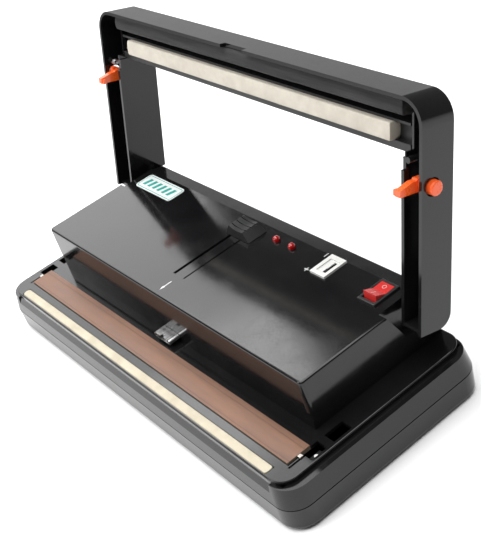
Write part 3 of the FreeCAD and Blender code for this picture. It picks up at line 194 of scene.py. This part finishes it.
def woven_tape(name, creases, crease_wide=0.5 * MM, crease_waver=0.5 * MM):
    """PTFE-coated glass cloth: a fine plain weave under a waxy coat, browned unevenly, with painted shade
    darkening its colour along the folds.

    creases are the places along Y at which the cloth is folded over the edges of what it covers.
    """
    material, tree, surface, place = shader(name)
    warp, weft = (node(tree, "TexWave", {"Vector": place, "Scale": 520.0, "Distortion": 0.4},
                       bands_direction=axis).outputs["Fac"] for axis in "XY")
    weave = calculate(tree, "MULTIPLY", warp, weft)
    browning = speckle(tree, stretched(tree, place, (0.3, 2.0, 1.0)), 60.0, detail=4.0)
    brown = tint(tree, browning, (0.135, 0.062, 0.034), (0.215, 0.104, 0.060))
    woven = multiplied(tree, 0.25, brown, tint(tree, weave, (0.55, 0.5, 0.45), (1, 1, 1)))

    across = node(tree, "SeparateXYZ", {"Vector": place}).outputs["Y"]
    waver = span_map(tree, speckle(tree, place, 45.0), -crease_waver, crease_waver, start=0.0, stop=1.0)
    wavering = calculate(tree, "ADD", across, waver)
    fold_shade_and_relief = 0.0
    for crease in creases:
        fold = calculate(tree, "COMPARE", wavering, crease, crease_wide / 2)
        fold_shade_and_relief = calculate(tree, "MAXIMUM", fold, fold_shade_and_relief)
    # Painted shade: the colour is darkened along each fold line, while the bump below gives the folds their
    # relief.
    crease_shaded = multiplied(tree, 0.45, woven, tint(tree, fold_shade_and_relief, (1, 1, 1), (0.18, 0.16, 0.15)))
    tree.links.new(crease_shaded, surface.inputs["Base Color"])
    tree.links.new(span_map(tree, browning, 0.30, 0.5), surface.inputs["Roughness"])

    fold_height, browning_height = -1.5, 4.0
    pressed = calculate(tree, "MULTIPLY_ADD", fold_shade_and_relief, fold_height, weave)
    wrinkled = calculate(tree, "MULTIPLY_ADD", browning, browning_height, pressed)
    bump(tree, surface, wrinkled, 0.06 * MM, 0.6)
    return material


def lamp_resin(name):
    """Tinted diffused resin under a gloss."""
    material, tree, surface, place = shader(name)
    tree.links.new(tint(tree, speckle(tree, place, 900.0), (0.25, 0.0, 0.0), (0.45, 0.006, 0.006)),
                   surface.inputs["Base Color"])
    surface.inputs["Roughness"].default_value = 0.12
    surface.inputs["Coat Weight"].default_value = 0.6
    surface.inputs["Subsurface Weight"].default_value = 0.3
    surface.inputs["Subsurface Radius"].default_value = (0.003, 0.0005, 0.0005)
    surface.inputs["Subsurface Scale"].default_value = 1.0
    return material


# ---- the materials, by the record's slots -------------------------------------------------------
# The folds seen along the tape, as shares of its width from the front.
TAPE_CREASE_SHARES = (0.10, 0.80)


def make_materials():
    """One material for each slot of the record."""
    moulded("black_plastic", (0.0045, 0.0045, 0.005), (0.0075, 0.0075, 0.008), (0.09, 0.17), grain=700.0,
            depth=0.006 * MM, specular=0.42)
    moulded("black_satin", (0.010, 0.010, 0.011), (0.018, 0.018, 0.019), (0.34, 0.5), grain=1400.0,
            depth=0.03 * MM)
    moulded("black_rubber", (0.012, 0.012, 0.012), (0.025, 0.025, 0.025), (0.7, 0.85))
    soft_skin("black_sponge", (0.008, 0.008, 0.008), (0.034, 0.034, 0.034), pores=1500.0,
              depth=0.25 * MM, rough=0.9, sheen=0.05, streak=0.06)
    soft_skin("cream_foam", (0.42, 0.375, 0.28), (0.53, 0.48, 0.37), pores=1800.0, depth=0.12 * MM)
    soft_skin("cream_silicone", (0.47, 0.43, 0.36), (0.58, 0.54, 0.46), pores=900.0, depth=0.05 * MM,
              rough=0.6, sheen=0.1)
    tape_low, tape_high = box_corners("ptfe_tape")
    creases = [tape_low.y + (tape_high.y - tape_low.y) * share for share in TAPE_CREASE_SHARES]
    woven_tape("brown_ptfe", creases)
    moulded("heater_bar", (0.10, 0.08, 0.06), (0.18, 0.15, 0.11), (0.5, 0.7))
    metal("nichrome", (0.55, 0.52, 0.48), (0.3, 0.45), squeeze=(1, 30, 30), scale=60.0)
    metal("steel", (0.62, 0.62, 0.63), (0.2, 0.35), squeeze=(1, 1, 1), scale=600.0)
    metal("nozzle_metal", (0.80, 0.80, 0.80), (0.2, 0.38), squeeze=(30, 1, 30), scale=70.0)
    moulded("orange_plastic", (0.80, 0.085, 0.012), (0.94, 0.13, 0.02), (0.25, 0.4), coat=0.2)
    moulded("red_plastic", (0.50, 0.022, 0.02), (0.62, 0.035, 0.032), (0.18, 0.32), coat=0.3)
    lamp_resin("red_lamp")
    moulded("white_plastic", (0.66, 0.66, 0.64), (0.76, 0.76, 0.74), (0.3, 0.45))
    moulded("grey_label", (0.62, 0.66, 0.65), (0.74, 0.77, 0.76), (0.3, 0.4))
    moulded("green_board", (0.02, 0.10, 0.04), (0.04, 0.16, 0.07), (0.3, 0.5))
    metal("core_steel", (0.25, 0.25, 0.26), (0.4, 0.6), squeeze=(1, 60, 1), scale=60.0)
    moulded("coil_wrap", (0.42, 0.25, 0.05), (0.6, 0.38, 0.1), (0.35, 0.5))
    moulded("hose_rubber", (0.3, 0.3, 0.29), (0.42, 0.42, 0.4), (0.4, 0.6))


def paint_nodes():
    """Each CAD node gets the material of its slot."""
    for part in frame["record"]["subparts"]:
        mesh = frame["nodes"][part["node"]].data
        mesh.materials.clear()
        mesh.materials.append(LOOK[part["material_slot"]])


# ---- mesh helpers -------------------------------------------------------------------------------
def piece(name, points, faces, body, look, smooth=True, move=None):
    """A mesh piece that rides on a body, moved there by a matrix if one is given."""
    mesh = bpy.data.meshes.new(name)
    mesh.from_pydata([tuple(point) for point in points], [], faces)
    if move:
        mesh.transform(move)
    work = bmesh.new()
    work.from_mesh(mesh)
    bmesh.ops.recalc_face_normals(work, faces=work.faces)
    work.to_mesh(mesh)
    work.free()
    mesh.materials.append(look)
    for face in mesh.polygons:
        face.use_smooth = smooth
    made = bpy.data.objects.new(name, mesh)
    bpy.context.collection.objects.link(made)
    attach(made, body)
    return made


def slab(name, outline, low, high, body, look, move=None):
    """An outline in X and Y raised from low to high."""
    count = len(outline)
    points = [(x, y, z) for z in (low, high) for x, y in outline]
    faces = [tuple(reversed(range(count))), tuple(range(count, 2 * count))]
    faces += [(k, (k + 1) % count, count + (k + 1) % count, count + k) for k in range(count)]
    return piece(name, points, faces, body, look, smooth=False, move=move)


def band(name, outer, inner, low, high, body, look, move=None):
    """A closed band between two outlines of the same number of points, raised from low to high."""
    count = len(outer)
    points = []
    for outline, z in ((outer, low), (outer, high), (inner, high), (inner, low)):
        points += [(x, y, z) for x, y in outline]
    faces = []
    for ring in range(4):
        a, b = ring * count, (ring + 1) % 4 * count
        faces += [(a + k, a + (k + 1) % count, b + (k + 1) % count, b + k) for k in range(count)]
    return piece(name, points, faces, body, look, smooth=False, move=move)


def rectangle(half_x, half_y):
    """A rectangle's corners about the origin."""
    return [(-half_x, -half_y), (half_x, -half_y), (half_x, half_y), (-half_x, half_y)]


def circle(radius, steps=32):
    """Points round a circle about the origin."""
    angles = [2 * math.pi * step / steps for step in range(steps)]
    return [(math.cos(angle) * radius, math.sin(angle) * radius) for angle in angles]


def rounded_outline(low, high, inset, radius, steps=6):
    """A rectangle with round corners, drawn inside a box seen from above."""
    left, right, front, rear = low.x + inset, high.x - inset, low.y + inset, high.y - inset
    centres = ((right - radius, rear - radius), (left + radius, rear - radius),
               (left + radius, front + radius), (right - radius, front + radius))
    outline = []
    for quarter, (x, y) in enumerate(centres):
        for step in range(steps + 1):
            angle = math.pi / 2 * (quarter + step / steps)
            outline.append((x + radius * math.cos(angle), y + radius * math.sin(angle)))
    return outline


# ---- soft strips --------------------------------------------------------------------------------
STRIP_STATIONS, STRIP_AROUND = 160, 28
STRIP_END_SHARE = 0.02
STRIP_WAVES_PER_METRE = 55


def soft_strip(name, low, high, body, slot, crown, end_round, waver, corner, seed, face, move=None):
    """A long soft strip along X: a section with a crowned face and rounded ends.

    corner is 1 for an oval section and near 0 for a square one.  face is +1 when the crowned face
    looks up and -1 when it looks down.
    """
    half_wide, middle_y = (high.y - low.y) / 2, (high.y + low.y) / 2
    half_high, middle_z = (high.z - low.z) / 2, (high.z + low.z) / 2
    points, faces = [], []
    for station in range(STRIP_STATIONS + 1):
        x = low.x + (high.x - low.x) * (0.5 - 0.5 * math.cos(math.pi * station / STRIP_STATIONS))
        from_end = min(x - low.x, high.x - x)
        pinch = 1.0 if from_end >= end_round else math.sqrt(max(0.0, 1 - (1 - from_end / end_round) ** 2))
        pinch = max(pinch, STRIP_END_SHARE)
        for turn in range(STRIP_AROUND):
            angle = 2 * math.pi * turn / STRIP_AROUND
            side, rise = (math.copysign(abs(share) ** corner, share)
                          for share in (math.cos(angle), math.sin(angle)))
            drift = noise.noise(Vector((x * STRIP_WAVES_PER_METRE, seed, angle))) * waver
            lift = crown * side ** 2 if rise * face > 0 else 0.0
            y = middle_y + side * (half_wide - waver + drift) * pinch
            z = middle_z + rise * (half_high - waver + drift) - face * lift
            points.append((x, y, min(max(z, low.z), high.z)))
    for station in range(STRIP_STATIONS):
        start = station * STRIP_AROUND
        for turn in range(STRIP_AROUND):
            a, b = start + turn, start + (turn + 1) % STRIP_AROUND
            faces.append((a, b, b + STRIP_AROUND, a + STRIP_AROUND))
    faces.append(tuple(range(STRIP_AROUND)))
    faces.append(tuple(STRIP_STATIONS * STRIP_AROUND + turn for turn in reversed(range(STRIP_AROUND))))
    made = piece(name, points, faces, body, LOOK[slot], move=move)
    return made


def make_soft_strips():
    """The deck's foam, and the lid's sponge and silicone bar, which face down when it is closed."""
    foam = soft_strip("deck_foam", *box_corners("foam_strip"), "base", "cream_foam", crown=0.2 * MM,
                      end_round=1.6 * MM, waver=0.05 * MM, corner=0.24, seed=1.0, face=1)
    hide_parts("foam_strip")
    sponge = soft_strip("lid_sponge_strip", *closed_box_corners("lid_sponge"), "lid", "black_sponge",
                        crown=0.5 * MM, end_round=1.0 * MM, waver=0.12 * MM, corner=0.22, seed=2.0, face=-1,
                        move=TO_OPEN)
    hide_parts("lid_sponge")
    bar = soft_strip("silicone_strip", *closed_box_corners("silicone_bar"), "lid", "cream_silicone",
                     crown=0.25 * MM, end_round=0.8 * MM, waver=0.05 * MM, corner=0.16, seed=3.0, face=-1,
                     move=TO_OPEN)
    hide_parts("silicone_bar")


# ---- printed marks ------------------------------------------------------------------------------
INK_THICK = 0.06 * MM


def make_housing_marks():
    """An arrow for the nozzle's travel, and a plus and a minus by the timer."""
    ink = moulded("white_ink", (0.60, 0.60, 0.60), (0.78, 0.78, 0.78), (0.4, 0.55))
    cover_low, cover_high = box_corners("housing_cover")
    front, top = cover_low.y, cover_high.z

    x, half_shaft, half_head = -2.0 * MM, 0.35 * MM, 1.1 * MM
    tip, start = front + 4.5 * MM, front + 14.5 * MM
    neck = tip + 4 * MM
    arrow = [(x - half_shaft, start), (x - half_shaft, neck), (x - half_head, neck), (x, tip),
             (x + half_head, neck), (x + half_shaft, neck), (x + half_shaft, start)]
    slab("arrow_mark", arrow, top, top + INK_THICK, "base", ink)

    low, high = box_corners("timer_plate")
    arm, half = 1.9 * MM, 0.3 * MM
    plus = [(-half, -arm), (half, -arm), (half, -half), (arm, -half), (arm, half), (half, half),
            (half, arm), (-half, arm), (-half, half), (-arm, half), (-arm, -half), (-half, -half)]
    minus = rectangle(half, arm)
    x = low.x - 4.6 * MM
    for name, y, outline in (("plus_mark", low.y + 1 * MM, plus), ("minus_mark", high.y - 1.5 * MM, minus)):
        slab(name, [(x + dx, y + dy) for dx, dy in outline], top, top + INK_THICK, "base", ink)


def make_label_art():
    """A border and a row of slanted bars on the label plate, in place of printed words."""
    ink = moulded("teal_ink", (0.02, 0.26, 0.22), (0.05, 0.36, 0.31), (0.35, 0.5))
    low, high = box_corners("label_plate")
    outer_inset, border, corner = 1.1 * MM, 0.5 * MM, 2.0 * MM
    outer = rounded_outline(low, high, outer_inset, corner)
    inner = rounded_outline(low, high, outer_inset + border, corner - border)
    band("label_border", outer, inner, high.z, high.z + INK_THICK, "base", ink)

    bars, wide, slant = 6, 3.4 * MM, 2.0 * MM
    first, end_room, side_room = low.x + 4.6 * MM, 9 * MM, 4.2 * MM
    front, rear = low.y + side_room, high.y - side_room
    pitch = (high.x - low.x - end_room) / bars
    for number in range(bars):
        x = first + pitch * number
        outline = [(x, front), (x + wide, front), (x + wide + slant, rear), (x + slant, rear)]
        slab("label_bar_%d" % number, outline, high.z, high.z + INK_THICK, "base", ink)


def make_rocker_marks():
    """The usual signs for on and off, a bar and a ring, on the rocker's two faces."""
    ink = moulded("rocker_ink", (0.55, 0.35, 0.33), (0.7, 0.48, 0.45), (0.4, 0.55))
    joint = joints["power_switch"]
    rest_tilt = math.radians(joint["range_deg"][1] / 2)
    # The rocker's top is a shallow V: dip and rim are its heights over the pivot, middle and end.
    rocker_half, dip, rim = 7.4 * MM, 3.4 * MM, 5.2 * MM
    slope = math.atan2(rim - dip, rocker_half)
    from_pivot = 4.3 * MM
    ring_outer, ring_inner = 1.5 * MM, 1.1 * MM
    bar_half_wide, bar_half_long = 0.25 * MM, 1.9 * MM
    seat = Matrix.Translation(Vector(joint["pos_m"])) @ Matrix.Rotation(-rest_tilt, 4, "X")
    height = dip + from_pivot * math.tan(slope)
    rear_face = seat @ Matrix.Translation((0, from_pivot, height)) @ Matrix.Rotation(slope, 4, "X")
    front_face = seat @ Matrix.Translation((0, -from_pivot, height)) @ Matrix.Rotation(-slope, 4, "X")
    band("off_ring", circle(ring_outer), circle(ring_inner), 0, INK_THICK, "rocker", ink,
         rear_face)
    slab("on_bar", rectangle(bar_half_wide, bar_half_long), 0, INK_THICK, "rocker", ink,
         front_face)


# ---- studio -------------------------------------------------------------------------------------
# Where the camera stands, its bearing from the front towards +X, its angle down and its roll.
CAMERA_AT = Vector((0.570, -0.2654, 0.4645))
AZIMUTH, ELEVATION, ROLL = math.radians(63.42), math.radians(33.14), math.radians(-19.51)
LENS_MM, SENSOR_MM = 75.8, 36.0
NEAR_CLIP = 0.01
FLOOR_HALF = 6.0
WORLD_STRENGTH = 0.16


def make_camera():
    """A camera at CAMERA_AT that looks back along its bearing and angle down, rolled about its axis."""
    back = Vector((math.sin(AZIMUTH) * math.cos(ELEVATION), -math.cos(AZIMUTH) * math.cos(ELEVATION),
                   math.sin(ELEVATION)))
    level = Vector((0, 0, 1)).cross(back).normalized()
    rise = back.cross(level)
    right = level * math.cos(ROLL) + rise * math.sin(ROLL)
    up = rise * math.cos(ROLL) - level * math.sin(ROLL)
    data = bpy.data.cameras.new("camera")
    data.lens, data.sensor_width = LENS_MM, SENSOR_MM
    data.clip_start = NEAR_CLIP
    camera = bpy.data.objects.new("camera", data)
    camera.matrix_world = Matrix((right, up, back)).transposed().to_4x4()
    camera.location = CAMERA_AT
    bpy.context.collection.objects.link(camera)
    bpy.context.scene.camera = camera


def make_floor():
    """A plain pale floor."""
    mesh = bpy.data.meshes.new("floor")
    mesh.from_pydata([(x, y, 0) for x, y in rectangle(FLOOR_HALF, FLOOR_HALF)], [], [(0, 1, 2, 3)])
    floor = bpy.data.objects.new("floor", mesh)
    bpy.context.collection.objects.link(floor)
    material, tree, surface, place = shader("studio_floor")
    tree.links.new(tint(tree, speckle(tree, place, 1.5), (0.90, 0.90, 0.90), (0.93, 0.93, 0.93)),
                   surface.inputs["Base Color"])
    surface.inputs["Roughness"].default_value = 0.7
    surface.inputs["Specular IOR Level"].default_value = 0.2
    mesh.materials.append(material)


def area_light(name, at, aim, size, watts):
    """A rectangular light that faces a point."""
    data = bpy.data.lights.new(name, "AREA")
    data.shape, data.energy = "RECTANGLE", watts
    data.size, data.size_y = size
    lamp = bpy.data.objects.new(name, data)
    lamp.location = at
    lamp.rotation_euler = (Vector(aim) - Vector(at)).to_track_quat("-Z", "Y").to_euler()
    bpy.context.collection.objects.link(lamp)


def make_world():
    """A dim white surround."""
    world = bpy.data.worlds.new("studio")
    world.use_nodes = True
    background = world.node_tree.nodes["Background"]
    background.inputs["Color"].default_value = (1, 1, 1, 1)
    background.inputs["Strength"].default_value = WORLD_STRENGTH
    bpy.context.scene.world = world


def make_lights():
    """Soft studio lights, placed for what the glossy faces mirror."""
    area_light("overhead", at=(0, 0, 2.6), aim=(0, 0, 0), size=(3.2, 3.2), watts=135)
    area_light("front", at=(-0.6, -1.3, 1.0), aim=(0, 0, 0.1), size=(0.9, 0.7), watts=13)
    # The housing's top mirrors these two, bright at its left and fading out towards the right rear.
    area_light("left", at=(-1.25, 0.08, 0.89), aim=(0, 0, 0.07), size=(1.1, 0.75), watts=8)
    area_light("left_high", at=(-1.0, 0.36, 1.13), aim=(0, 0, 0.07), size=(0.5, 0.4), watts=1.7)
    # The lid bar's outer face mirrors this low one.
    area_light("rear_low", at=(-1.24, 1.0, 0.33), aim=(0, 0.08, 0.17), size=(1.2, 0.3), watts=0.6)


make_materials()
paint_nodes()
make_soft_strips()
make_housing_marks()
make_label_art()
make_rocker_marks()
make_camera()
make_floor()
make_world()
make_lights()
bpy.context.scene.view_settings.view_transform = "Standard"
